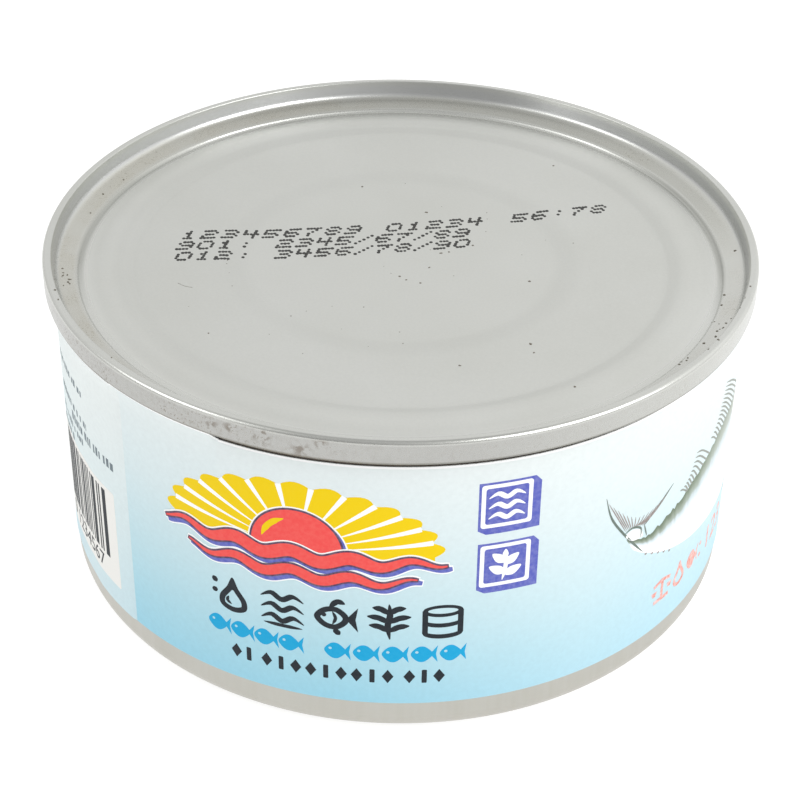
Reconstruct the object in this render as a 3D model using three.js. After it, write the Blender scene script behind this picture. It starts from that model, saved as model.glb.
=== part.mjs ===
// A small round food can, the drawn two-piece kind: one deep-drawn steel body
// whose bottom edge is rounded, a lid seamed on over its top, and a paper label
// glued round its wall. Millimetres, +Z up, origin at the middle of the base.
// The front of the label looks along -Y.
import * as THREE from 'three';

// driving sizes of the whole can
const canHeight = 43.3;
const seamRadius = 43.65;
const sides = 72;

// body
const bodyRadius = 42.15;
const bottomRounding = 3.0;
const standingRingWidth = 2.6;
const baseStepRun = 1.1;
const baseRise = 1.2;
const baseBeadOuter = 27.0;
const baseBeadInner = 22.0;
const baseBeadDepth = 0.5;
const baseBeadRun = 1.2;
const bodyWall = 0.75;

// lid: heights are measured down from the top of the seam
const seamDepth = 3.07;
const seamTopWidth = 1.4;
const seamRounding = 0.5;
const seamFootRounding = 0.35;
const chuckFootRadius = 41.5;
const chuckFootDepth = 2.2;
const shoulderInner = 39.8;
const shoulderDepth = 2.8;
const panelRadius = 39.2;
const panelDepth = 3.13;
const beadInner = 32.7;
const beadCrest = 34.6;
const beadHeight = 0.3;
const centreRadius = 19.2;
const centreSlopeRun = 2.8;
const centreDrop = 0.16;
const lidThickness = 0.6;

// label: a sheet glued round the wall, its end lapped over its start
const labelRadius = 42.55;
const labelThickness = 0.15;
const labelBottom = 5.1;
const lapEdgeAngle = -47.6;
const lapWidthAngle = 10.8;

const fitGap = 0.3;
const degree = Math.PI / 180;

const tinplate = new THREE.MeshStandardMaterial({ color: 0xb9b8b2, roughness: 0.42, metalness: 0.85 });
const lidMetal = new THREE.MeshStandardMaterial({ color: 0xc6c7c3, roughness: 0.5, metalness: 0.7 });
const labelPaper = new THREE.MeshStandardMaterial({ color: 0xcfe4ea, roughness: 0.6, metalness: 0 });

const spot = (radius, height) => new THREE.Vector2(radius, height);

// points along an arc in the profile, from one angle to another, both ends included
function arc(centreR, centreZ, radius, fromDegrees, toDegrees, steps) {
  const points = [];
  for (let i = 0; i <= steps; i += 1) {
    const angle = (fromDegrees + ((toDegrees - fromDegrees) * i) / steps) * degree;
    points.push(spot(centreR + radius * Math.cos(angle), centreZ + radius * Math.sin(angle)));
  }
  return points;
}

function turned(name, profile, material) {
  const geometry = new THREE.LatheGeometry(profile, sides);
  geometry.rotateX(Math.PI / 2);
  const mesh = new THREE.Mesh(geometry, material);
  mesh.name = name;
  return mesh;
}

// The drawn body: a flat standing ring inside the rounded edge, a shallow
// recessed base with one round bead, and a wall that runs up into the seam.
function canBody() {
  const ringOuter = bodyRadius - bottomRounding;
  const ringInner = ringOuter - standingRingWidth;
  const wallTop = canHeight - seamDepth - fitGap;
  const fillTop = canHeight - panelDepth - lidThickness - centreDrop - fitGap;
  const beadLevel = baseRise - baseBeadDepth;
  const profile = [
    spot(0, baseRise),
    spot(baseBeadInner - baseBeadRun, baseRise),
    spot(baseBeadInner, beadLevel),
    spot(baseBeadOuter - baseBeadRun, beadLevel),
    spot(baseBeadOuter, baseRise),
    spot(ringInner - baseStepRun, baseRise),
    spot(ringInner, 0),
    ...arc(ringOuter, bottomRounding, bottomRounding, -90, 0, 6),
    spot(bodyRadius, wallTop),
    spot(bodyRadius - bodyWall, wallTop),
    spot(bodyRadius - bodyWall, fillTop),
    spot(0, fillTop),
  ];
  return turned('can_body', profile, tinplate);
}

// the low round bead at the edge of the lid's panel: steep inside, a long slope outside
function lidBead(panelLevel) {
  const points = [];
  const steps = 6;
  for (let i = 1; i <= steps; i += 1) {
    const along = i / steps;
    const radius = beadCrest + (panelRadius - beadCrest) * along;
    points.push(spot(radius, panelLevel + beadHeight * Math.cos((along * Math.PI) / 2)));
  }
  return [spot(beadInner, panelLevel), spot(beadCrest, panelLevel + beadHeight), ...points];
}

// The lid: centre, panel, bead, step, shoulder, the wall up to the seam, and the
// seam folded over the body's edge.
function lid() {
  const panelLevel = canHeight - panelDepth;
  const centreLevel = panelLevel - centreDrop;
  const seamInner = seamRadius - seamTopWidth;
  const top = [
    spot(0, centreLevel),
    spot(centreRadius, centreLevel),
    spot(centreRadius + centreSlopeRun, panelLevel),
    ...lidBead(panelLevel),
    spot(shoulderInner, canHeight - shoulderDepth),
    spot(chuckFootRadius, canHeight - chuckFootDepth),
    ...arc(seamInner + seamRounding, canHeight - seamRounding, seamRounding, 180, 90, 3),
    ...arc(seamRadius - seamRounding, canHeight - seamRounding, seamRounding, 90, 0, 3),
    ...arc(seamRadius - seamFootRounding, canHeight - seamDepth + seamFootRounding, seamFootRounding, 0, -90, 2),
  ];
  const wallInside = bodyRadius - bodyWall - fitGap;
  const underside = centreLevel - lidThickness;
  const below = [
    spot(wallInside, canHeight - seamDepth),
    spot(wallInside, underside),
    spot(0, underside),
  ];
  return turned('lid', [...top, ...below].reverse(), lidMetal);
}

// The label: one sheet all the way round, twice as thick where its end laps its start.
function paperLabel() {
  const labelTop = canHeight - seamDepth - fitGap;
  const outline = new THREE.Shape();
  const opening = new THREE.Path();
  const turn = 360 / sides;
  const inner = labelRadius - labelThickness;
  const place = (path, radius, angle, first) => {
    const x = radius * Math.sin(angle * degree);
    const y = -radius * Math.cos(angle * degree);
    if (first) path.moveTo(x, y);
    else path.lineTo(x, y);
  };
  place(outline, labelRadius, lapEdgeAngle, true);
  for (let angle = Math.ceil(lapEdgeAngle / turn) * turn; angle < lapEdgeAngle + 360 - lapWidthAngle; angle += turn) {
    place(outline, labelRadius, angle, false);
  }
  const lapStart = lapEdgeAngle + 360 - lapWidthAngle;
  place(outline, labelRadius, lapStart, false);
  for (let i = 1; i <= 3; i += 1) {
    place(outline, labelRadius + labelThickness, lapStart + (lapWidthAngle * i) / 3, false);
  }
  for (let i = 0; i < sides; i += 1) place(opening, inner, i * turn, i === 0);
  outline.holes.push(opening);
  const geometry = new THREE.ExtrudeGeometry(outline, { depth: labelTop - labelBottom, bevelEnabled: false });
  const mesh = new THREE.Mesh(geometry, labelPaper);
  mesh.name = 'paper_label';
  mesh.position.z = labelBottom;
  return mesh;
}

const can = new THREE.Group();
can.add(canBody(), lid(), paperLabel());

export default can;
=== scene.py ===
import math
import random

import bpy
from mathutils import Matrix, Vector


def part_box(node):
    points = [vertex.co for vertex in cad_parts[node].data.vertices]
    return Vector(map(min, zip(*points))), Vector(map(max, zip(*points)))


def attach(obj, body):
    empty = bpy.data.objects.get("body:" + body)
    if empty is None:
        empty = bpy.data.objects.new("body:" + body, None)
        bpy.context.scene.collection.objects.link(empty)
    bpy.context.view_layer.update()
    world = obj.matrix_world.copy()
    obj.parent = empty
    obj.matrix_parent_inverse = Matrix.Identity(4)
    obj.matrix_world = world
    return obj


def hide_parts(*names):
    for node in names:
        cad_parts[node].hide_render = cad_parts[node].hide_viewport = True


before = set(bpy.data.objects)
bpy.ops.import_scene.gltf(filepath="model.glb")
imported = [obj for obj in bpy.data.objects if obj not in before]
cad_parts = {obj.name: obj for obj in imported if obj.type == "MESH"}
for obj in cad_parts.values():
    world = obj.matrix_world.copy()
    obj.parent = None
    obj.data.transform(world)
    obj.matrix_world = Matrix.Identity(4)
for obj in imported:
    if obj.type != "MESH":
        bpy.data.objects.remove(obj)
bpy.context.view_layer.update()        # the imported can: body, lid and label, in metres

mm = 0.001
chance = random.Random(7)

# places that come from the frame, in metres
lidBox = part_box("lid")
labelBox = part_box("paper_label")
canTop = lidBox[1][2]
seamRadius = lidBox[1][0]
labelRadius = labelBox[1][0]
labelBottom = labelBox[0][2]


# picking and joining
def deselectAll():
    bpy.ops.object.select_all(action="DESELECT")


def pick(*objects):
    deselectAll()
    for each in objects:
        each.select_set(True)
    bpy.context.view_layer.objects.active = objects[0]


def joinPieces(pieces, name):
    pick(*pieces)
    if len(pieces) > 1:
        bpy.ops.object.join()
    joined = bpy.context.view_layer.objects.active
    joined.name = name
    joined.data.name = name
    return joined


def applyModifier(piece, kind, **settings):
    pick(piece)
    modifier = piece.modifiers.new(kind.title(), kind)
    for key, value in settings.items():
        setattr(modifier, key, value)
    bpy.ops.object.modifier_apply(modifier=modifier.name)


def smoothStep(low, high, value):
    t = min(1.0, max(0.0, (value - low) / (high - low)))
    return t * t * (3 - 2 * t)


def finishPiece(piece, material, slot, *replaced):
    piece.data.materials.clear()
    piece.data.materials.append(material)
    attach(piece, "root")
    if replaced:
        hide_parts(*replaced)


# material helpers
def hexColour(code):
    channels = [int(code[i:i + 2], 16) / 255 for i in (1, 3, 5)]
    linear = [c / 12.92 if c <= 0.04045 else ((c + 0.055) / 1.055) ** 2.4 for c in channels]
    return (*linear, 1.0)


def grey(value):
    return (value, value, value, 1.0)


def newMaterial(name, **settings):
    material = bpy.data.materials.new(name)
    material.use_nodes = True
    shader = material.node_tree.nodes["Principled BSDF"]
    for key, value in settings.items():
        shader.inputs[key.replace("_", " ")].default_value = value
    return material, material.node_tree, shader


def addNode(tree, kind, inputs=None, stops=None, **settings):
    node = tree.nodes.new("ShaderNode" + kind)
    for key, value in settings.items():
        setattr(node, key, value)
    for key, value in (inputs or {}).items():
        if isinstance(value, bpy.types.NodeSocket):
            tree.links.new(value, node.inputs[key])
        else:
            node.inputs[key].default_value = value
    if stops:
        elements = node.color_ramp.elements
        elements.remove(elements[1])
        elements[0].position = stops[0][0]
        elements[0].color = stops[0][1]
        for position, colour in stops[1:]:
            elements.new(position).color = colour
    return node


# camera: the photograph's view, fitted to the edges of seam, label and base
cameraView = {
    "elevation": 34.739,         # degrees above the horizon
    "roll": 0.839,               # degrees
    "distance": 261.42 * mm,
    "targetBelowTop": 24.798 * mm,
    "sideways": 0.161 * mm,
    "lens": 90.60,               # mm, on a 36 mm sensor
}


def makeCamera(view):
    tilt = math.radians(view["elevation"])
    roll = math.radians(view["roll"])
    forward = Vector((0, math.cos(tilt), -math.sin(tilt)))
    right = Vector((1, 0, 0))
    up = Vector((0, math.sin(tilt), math.cos(tilt)))
    target = Vector((0, 0, canTop - view["targetBelowTop"]))
    place = target - forward * view["distance"] + right * view["sideways"]
    across = right * math.cos(roll) + up * math.sin(roll)
    upward = up * math.cos(roll) - right * math.sin(roll)
    turn = Matrix((across, upward, -forward)).transposed().to_4x4()
    lens = bpy.data.cameras.new("photoCamera")
    lens.sensor_width = 36.0
    lens.lens = view["lens"]
    lens.clip_start = 10 * mm
    camera = bpy.data.objects.new("photoCamera", lens)
    bpy.context.collection.objects.link(camera)
    camera.matrix_world = Matrix.Translation(place) @ turn
    bpy.context.scene.camera = camera


deselectAll()
makeCamera(cameraView)
print("camera set")


# turned pieces: a half section of (radius, height, rounding) corners, spun round the axis
turning = {"steps": 256, "cornerSteps": 8, "smoothBelow": 30}


def roundCorners(corners):
    path = [Vector(corners[0][:2])]
    for before, corner, after in zip(corners, corners[1:], corners[2:]):
        here = Vector(corner[:2])
        toBefore = Vector(before[:2]) - here
        toAfter = Vector(after[:2]) - here
        half = toBefore.angle(toAfter) / 2
        if corner[2] == 0 or half > math.radians(89.5):
            path.append(here)
            continue
        reach = min(corner[2] / math.tan(half), 0.49 * toBefore.length, 0.49 * toAfter.length)
        rounding = reach * math.tan(half)
        towards = (toBefore.normalized() + toAfter.normalized()).normalized()
        middle = here + towards * rounding / math.sin(half)
        start = here + toBefore.normalized() * reach - middle
        sweep = start.angle_signed(here + toAfter.normalized() * reach - middle)
        for i in range(turning["cornerSteps"] + 1):
            arm = start.copy()
            arm.rotate(Matrix.Rotation(-sweep * i / turning["cornerSteps"], 2))
            path.append(middle + arm)
    path.append(Vector(corners[-1][:2]))
    return path


def turnPiece(name, path):
    mesh = bpy.data.meshes.new(name)
    mesh.from_pydata([(r, 0, z) for r, z in path], [(i, i + 1) for i in range(len(path) - 1)], [])
    piece = bpy.data.objects.new(name, mesh)
    bpy.context.collection.objects.link(piece)
    pick(piece)
    bpy.ops.object.mode_set(mode="EDIT")
    bpy.ops.mesh.select_all(action="SELECT")
    bpy.ops.mesh.spin(steps=turning["steps"], angle=2 * math.pi, center=(0, 0, 0), axis=(0, 0, 1))
    bpy.ops.mesh.select_all(action="SELECT")
    bpy.ops.mesh.remove_doubles(threshold=0.002 * mm)
    bpy.ops.mesh.normals_make_consistent(inside=False)
    bpy.ops.object.mode_set(mode="OBJECT")
    bpy.ops.object.shade_smooth_by_angle(angle=math.radians(turning["smoothBelow"]))
    return piece


# the drawn body: tin-plated steel, bare below the label
bodyShape = {
    "wallInsideLabel": 0.17 * mm,      # how far the wall stands behind the label's face
    "bottomRounding": 3.0 * mm,
    "edgeSteps": 20,
    "ringWidth": 2.6 * mm,             # flat standing ring
    "baseRise": 1.2 * mm,
    "beadOuter": 27.0 * mm,
    "beadInner": 22.0 * mm,
    "beadDepth": 0.5 * mm,
    "beadRounding": 1.0 * mm,
    "slopeRun": 1.15 * mm,
    "seamDepth": 3.07 * mm,
    "wallThickness": 0.75 * mm,
    "fillBelowTop": 4.19 * mm,
    "gap": 0.3 * mm,
}


def makeBody(shape):
    wall = labelRadius - shape["wallInsideLabel"]
    ringOuter = wall - shape["bottomRounding"]
    ringInner = ringOuter - shape["ringWidth"]
    rise = shape["baseRise"]
    bead = rise - shape["beadDepth"]
    run = shape["slopeRun"]
    wallTop = canTop - shape["seamDepth"] - shape["gap"]
    corners = [
        (0, rise, 0),
        (shape["beadInner"] - run, rise, shape["beadRounding"]),
        (shape["beadInner"], bead, shape["beadRounding"]),
        (shape["beadOuter"] - run, bead, shape["beadRounding"]),
        (shape["beadOuter"], rise, shape["beadRounding"]),
        (ringInner - run, rise, 0.6 * mm),
        (ringInner, 0, 0.5 * mm),
        (ringOuter, 0, 0),
        (wall, 0, 0),
        (wall, shape["bottomRounding"], 0),
        (wall, wallTop, 0.1 * mm),
        (wall - shape["wallThickness"], wallTop, 0.1 * mm),
        (wall - shape["wallThickness"], canTop - shape["fillBelowTop"], 0),
        (0, canTop - shape["fillBelowTop"], 0),
    ]
    # the corner at (wall, 0) gives way to a full quarter round between the ring and the wall
    square = corners.index((wall, 0, 0))
    path = roundCorners(corners[:square])
    middle = Vector((ringOuter, shape["bottomRounding"]))
    for i in range(1, shape["edgeSteps"]):
        angle = math.radians(-90 + 90 * i / shape["edgeSteps"])
        path.append(middle + shape["bottomRounding"] * Vector((math.cos(angle), math.sin(angle))))
    path += roundCorners(corners[square + 1:])
    return turnPiece("canBody", path)


# the lid, seamed on over the body's edge; depths are below the top of the seam
lidShape = {
    "centreRadius": 19.2 * mm,
    "centreDrop": 0.2 * mm,
    "centreRounding": 0.8 * mm,
    "centreSlope": 2.8 * mm,
    "slopeRounding": 12 * mm,
    "panelDepth": 3.13 * mm,
    "beadInner": 32.9 * mm,
    "beadInnerRounding": 1.2 * mm,
    "beadCrest": 34.3 * mm,
    "beadCrestRounding": 3.0 * mm,
    "beadOuter": 36.6 * mm,
    "beadOuterRounding": 9 * mm,
    "beadHeight": 0.42 * mm,
    "grooveStart": 38.3 * mm,
    "grooveRise": 0.1 * mm,
    "grooveRounding": 2.0 * mm,
    "grooveDepth": 0.05 * mm,
    "panelRadius": 39.36 * mm,
    "stepRounding": 0.34 * mm,
    "shoulderInner": 39.66 * mm,
    "shoulderDepth": 2.84 * mm,
    "shoulderMiddle": 40.8 * mm,
    "shoulderMiddleDepth": 2.5 * mm,
    "shoulderRounding": 3.0 * mm,
    "chuckFoot": 42.1 * mm,
    "chuckDepth": 2.12 * mm,
    "chuckRounding": 1.1 * mm,
    "seamWidth": 1.05 * mm,
    "seamDepth": 3.07 * mm,
    "innerRounding": 0.16 * mm,
    "crownWidth": 0.3 * mm,
    "crownDrop": 0.3 * mm,
    "crownRounding": 0.5 * mm,
    "outerRounding": 0.42 * mm,
    "footRounding": 0.35 * mm,
    "foldInside": 1.2 * mm,            # the fold's inner face, clear of the body's wall
    "foldLip": 0.2 * mm,
    "plugRadius": 41.1 * mm,
    "thickness": 0.6 * mm,
}


def lidTopCorners(shape):
    panel = canTop - shape["panelDepth"]
    centre = panel - shape["centreDrop"]
    crest = panel + shape["beadHeight"]
    return [
        (0, centre, 0),
        (shape["centreRadius"], centre, shape["centreRounding"]),
        (shape["centreRadius"] + shape["centreSlope"], panel, shape["slopeRounding"]),
        (shape["beadInner"], panel, shape["beadInnerRounding"]),
        (shape["beadCrest"], crest - 0.02 * mm, shape["beadCrestRounding"]),
        (shape["beadOuter"], crest - 0.05 * mm, shape["beadOuterRounding"]),
        (shape["grooveStart"], panel + shape["grooveRise"], shape["grooveRounding"]),
        (shape["panelRadius"], panel - shape["grooveDepth"], shape["stepRounding"]),
        (shape["shoulderInner"], canTop - shape["shoulderDepth"], shape["stepRounding"]),
        (shape["shoulderMiddle"], canTop - shape["shoulderMiddleDepth"], shape["shoulderRounding"]),
        (shape["chuckFoot"], canTop - shape["chuckDepth"], shape["chuckRounding"]),
        (seamRadius - shape["seamWidth"], canTop, shape["innerRounding"]),
        (seamRadius - shape["crownWidth"], canTop, shape["crownRounding"]),
        (seamRadius, canTop - shape["crownDrop"], shape["outerRounding"]),
        (seamRadius, canTop - shape["seamDepth"], shape["footRounding"]),
    ]


def makeLid(shape):
    foldRadius = seamRadius - shape["foldInside"]
    underside = canTop - shape["panelDepth"] - shape["centreDrop"] - shape["thickness"]
    corners = lidTopCorners(shape) + [
        (foldRadius, canTop - shape["seamDepth"], 0.12 * mm),
        (foldRadius, canTop - shape["seamDepth"] + shape["foldLip"], 0),
        (shape["plugRadius"], canTop - shape["seamDepth"] + shape["foldLip"], 0),
        (shape["plugRadius"], underside, 0.1 * mm),
        (0, underside, 0),
    ]
    return turnPiece("canLid", roundCorners(corners))


lidPath = roundCorners(lidTopCorners(lidShape))


def lidHeight(radius):
    for inner, outer in zip(lidPath, lidPath[1:]):
        if inner[0] <= radius <= outer[0] and outer[0] > inner[0]:
            share = (radius - inner[0]) / (outer[0] - inner[0])
            return inner[1] + share * (outer[1] - inner[1])
    return canTop


# the label: one printed sheet wrapped round the wall, its end lapped over its start.
# Flat places on it are (along, height): along the wall from the middle of the front, to the
# right as seen from outside, and height above the base.
labelSheet = {
    "paper": 0.13 * mm,
    "lapEdge": -35.4 * mm,
    "lapWidth": 8.0 * mm,
    "lapRamp": 3.0 * mm,
    "topGap": 0.9 * mm,            # from the seam down to the top edge, right of the flared part
    "flareEdge": -20.6 * mm,       # left of here the top edge stands off the wall, against the seam
    "flareEnd": -84.0 * mm,
    "flare": 0.85 * mm,
    "flareHeight": 2.6 * mm,
    "sagLeft": 0.15,               # shares by which the gap grows to either side of the front
    "sagRight": 0.12,
    "columns": 368,
    "rows": 26,
}
wrapLength = 2 * math.pi * labelRadius


def labelLift(along, height):
    sheet = labelSheet
    lift = 0.0
    if along <= sheet["lapEdge"]:
        under = sheet["lapEdge"] - sheet["lapWidth"]
        lift += sheet["paper"] * smoothStep(under - sheet["lapRamp"], under, along)
    around = (along + wrapLength / 2) % wrapLength - wrapLength / 2
    left = 1 - smoothStep(sheet["flareEdge"] - 0.35 * mm, sheet["flareEdge"] + 0.35 * mm, around)
    standing = left * smoothStep(sheet["flareEnd"], sheet["flareEnd"] + 25 * mm, around)
    top = canTop - lidShape["seamDepth"]
    towardsTop = max(0.0, (height - top + sheet["flareHeight"]) / sheet["flareHeight"])
    lift += sheet["flare"] * standing * towardsTop ** 2
    return lift


def wrapOnCan(piece):
    for vertex in piece.data.vertices:
        along, height, proud = vertex.co
        radius = labelRadius + proud + labelLift(along, height)
        angle = along / labelRadius
        vertex.co = (radius * math.sin(angle), -radius * math.cos(angle), height)


def makeLabel(sheet):
    length = wrapLength + sheet["lapWidth"]
    top = canTop - lidShape["seamDepth"] - 0.06 * mm
    tall = top - labelBottom
    bpy.ops.mesh.primitive_grid_add(
        x_subdivisions=sheet["columns"], y_subdivisions=sheet["rows"], size=1,
        location=(sheet["lapEdge"] - length / 2, labelBottom + tall / 2, 0))
    piece = bpy.context.active_object
    piece.name = "paperLabel"
    piece.data.name = "paperLabel"
    piece.scale = (length, tall, 1)
    bpy.ops.object.transform_apply(location=True, rotation=True, scale=True)
    for vertex in piece.data.vertices:
        along = (vertex.co.x + wrapLength / 2) % wrapLength - wrapLength / 2
        if along > sheet["flareEdge"] or along < sheet["flareEnd"]:
            sag = sheet["sagLeft"] * (1 - smoothStep(-20 * mm, 2 * mm, along))
            sag += sheet["sagRight"] * smoothStep(5 * mm, 50 * mm, along)
            vertex.co.y -= sheet["topGap"] * (1 + sag) * (vertex.co.y - labelBottom) / tall
    applyModifier(piece, "SOLIDIFY", thickness=sheet["paper"], offset=-1)
    wrapOnCan(piece)
    pick(piece)
    bpy.ops.object.shade_smooth_by_angle(angle=math.radians(turning["smoothBelow"]))
    return piece


canBody = makeBody(bodyShape)
canLid = makeLid(lidShape)
paperLabel = makeLabel(labelSheet)
print("body, lid and label made")


# printing: flat outlines, filled as 2D curves a few hundredths of a millimetre proud
ink = {"step": 0.8 * mm, "thickness": 0.012 * mm, "sunk": 0.006 * mm}


def flatPlace(along, below):
    return (along * mm, canTop + below * mm)


def inkShape(outlines, layer=0):
    # outlines that lie inside the first are holes in it
    curve = bpy.data.curves.new("ink", "CURVE")
    curve.dimensions = "2D"
    curve.fill_mode = "BOTH"
    top = ink["thickness"] * (layer + 1)
    curve.extrude = (top + ink["sunk"]) / 2
    for outline in outlines:
        spline = curve.splines.new("POLY")
        spline.points.add(len(outline) - 1)
        for point, place in zip(spline.points, outline):
            point.co = (*flatPlace(*place), 0, 1)
        spline.use_cyclic_u = True
    piece = bpy.data.objects.new("ink", curve)
    bpy.context.collection.objects.link(piece)
    piece.location.z = (top - ink["sunk"]) / 2
    return piece


def inkText(words, along, below, size, layer=0, wide=1.0):
    curve = bpy.data.curves.new("ink", "FONT")
    curve.body = words
    curve.size = size * mm
    top = ink["thickness"] * (layer + 1)
    curve.extrude = (top + ink["sunk"]) / 2
    piece = bpy.data.objects.new("ink", curve)
    bpy.context.collection.objects.link(piece)
    piece.location = (*flatPlace(along, below), (top - ink["sunk"]) / 2)
    piece.scale.x = wide
    return piece


def printPiece(name, shapes, material):
    pick(*shapes)
    bpy.ops.object.convert(target="MESH")
    piece = joinPieces(shapes, name)
    bpy.ops.object.transform_apply(location=True, rotation=True, scale=True)
    alongs = [v.co.x for v in piece.data.vertices]
    bpy.ops.object.mode_set(mode="EDIT")
    bpy.ops.mesh.select_all(action="SELECT")
    bpy.ops.mesh.remove_doubles(threshold=0.001 * mm)
    cut = math.ceil(min(alongs) / ink["step"])
    while cut * ink["step"] < max(alongs):
        bpy.ops.mesh.select_all(action="SELECT")
        bpy.ops.mesh.bisect(plane_co=(cut * ink["step"], 0, 0), plane_no=(1, 0, 0))
        cut += 1
    bpy.ops.mesh.select_all(action="SELECT")
    bpy.ops.mesh.normals_make_consistent(inside=False)
    bpy.ops.object.mode_set(mode="OBJECT")
    wrapOnCan(piece)
    bpy.ops.object.shade_smooth_by_angle(angle=math.radians(turning["smoothBelow"]))
    finishPiece(piece, material, "label_paper")
    return piece


# outlines in millimetres: (along, below the seam's top)
def oval(middle, halfWidth, halfHeight, points=64, turn=0.0):
    outline = []
    for i in range(points):
        angle = 2 * math.pi * i / points
        x = halfWidth * math.cos(angle)
        y = halfHeight * math.sin(angle)
        outline.append((middle[0] + x * math.cos(turn) - y * math.sin(turn),
                        middle[1] + x * math.sin(turn) + y * math.cos(turn)))
    return outline


def block(left, right, low, high, corner=0.0):
    if corner == 0:
        return [(left, low), (right, low), (right, high), (left, high)]
    outline = []
    for x, y, start in ((right - corner, low + corner, -90), (right - corner, high - corner, 0),
                        (left + corner, high - corner, 90), (left + corner, low + corner, 180)):
        for i in range(5):
            angle = math.radians(start + 22.5 * i)
            outline.append((x + corner * math.cos(angle), y + corner * math.sin(angle)))
    return outline


def smoothLine(points, steps=6, closed=False):
    # a smooth line through the points
    count = len(points)
    line = []
    spans = count if closed else count - 1
    for i in range(spans):
        if closed:
            a, b, c, d = (points[(i + k) % count] for k in (-1, 0, 1, 2))
        else:
            a, b, c, d = (points[min(count - 1, max(0, i + k))] for k in (-1, 0, 1, 2))
        for j in range(steps):
            t = j / steps
            line.append(tuple(
                0.5 * (2 * b[n] + (c[n] - a[n]) * t + (2 * a[n] - 5 * b[n] + 4 * c[n] - d[n]) * t ** 2
                       + (3 * b[n] - a[n] - 3 * c[n] + d[n]) * t ** 3) for n in (0, 1)))
    if not closed:
        line.append(points[-1])
    return line


def brushStroke(points, width, thinStart=True, thinEnd=True, steps=6):
    # the outline of a stroke along the points that thins at its ends
    line = smoothLine(points, steps)
    leftSide = []
    rightSide = []
    last = len(line) - 1
    for i, (x, y) in enumerate(line):
        ahead = line[min(last, i + 1)]
        behind = line[max(0, i - 1)]
        along = Vector((ahead[0] - behind[0], ahead[1] - behind[1])).normalized()
        share = i / last
        half = width / 2
        if thinStart:
            half *= min(1.0, 0.12 + share * 3)
        if thinEnd:
            half *= min(1.0, 0.12 + (1 - share) * 3)
        leftSide.append((x - along.y * half, y + along.x * half))
        rightSide.append((x + along.y * half, y - along.x * half))
    return leftSide + rightSide[::-1]


def moved(outline, middle, size=1.0, turn=0.0):
    c = math.cos(turn) * size
    s = math.sin(turn) * size
    return [(middle[0] + x * c - y * s, middle[1] + x * s + y * c) for x, y in outline]


def grown(outline, amount):
    # the outline moved outwards; points that would fold back over it are dropped
    count = len(outline)
    area = sum(outline[i - 1][0] * outline[i][1] - outline[i][0] * outline[i - 1][1] for i in range(count))
    outward = 1 if area > 0 else -1
    result = []
    for i in range(count):
        ahead = Vector(outline[(i + 1) % count])
        behind = Vector(outline[i - 1])
        along = (ahead - behind).normalized()
        place = Vector(outline[i]) + Vector((along.y, -along.x)) * amount * outward
        nearest = min((place - Vector(other)).length for other in outline)
        if nearest > abs(amount) * 0.96:
            result.append((place.x, place.y))
    return result


# inks on coated paper: flat offset colour, a little uneven where the paper shows through
def offsetInk(name, colour, worn="#ffffff", fade=0.10):
    material, tree, shader = newMaterial(name, Roughness=0.5, Specular_IOR_Level=0.15)
    place = addNode(tree, "TexCoord").outputs["Object"]
    # the real dots are 0.17 mm apart; the mottle is drawn at 0.5 mm so that it shows
    mottle = addNode(tree, "TexNoise", {"Vector": place, "Scale": 2000.0, "Detail": 2.0}).outputs["Fac"]
    amount = addNode(tree, "MapRange", {"Value": mottle, "From Min": 0.35, "From Max": 0.75,
                                        "To Min": 0.0, "To Max": fade}).outputs[0]
    tint = addNode(tree, "Mix", {0: amount, 6: hexColour(colour), 7: hexColour(worn)},
                   data_type="RGBA").outputs[2]
    tree.links.new(tint, shader.inputs["Base Color"])
    return material


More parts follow.
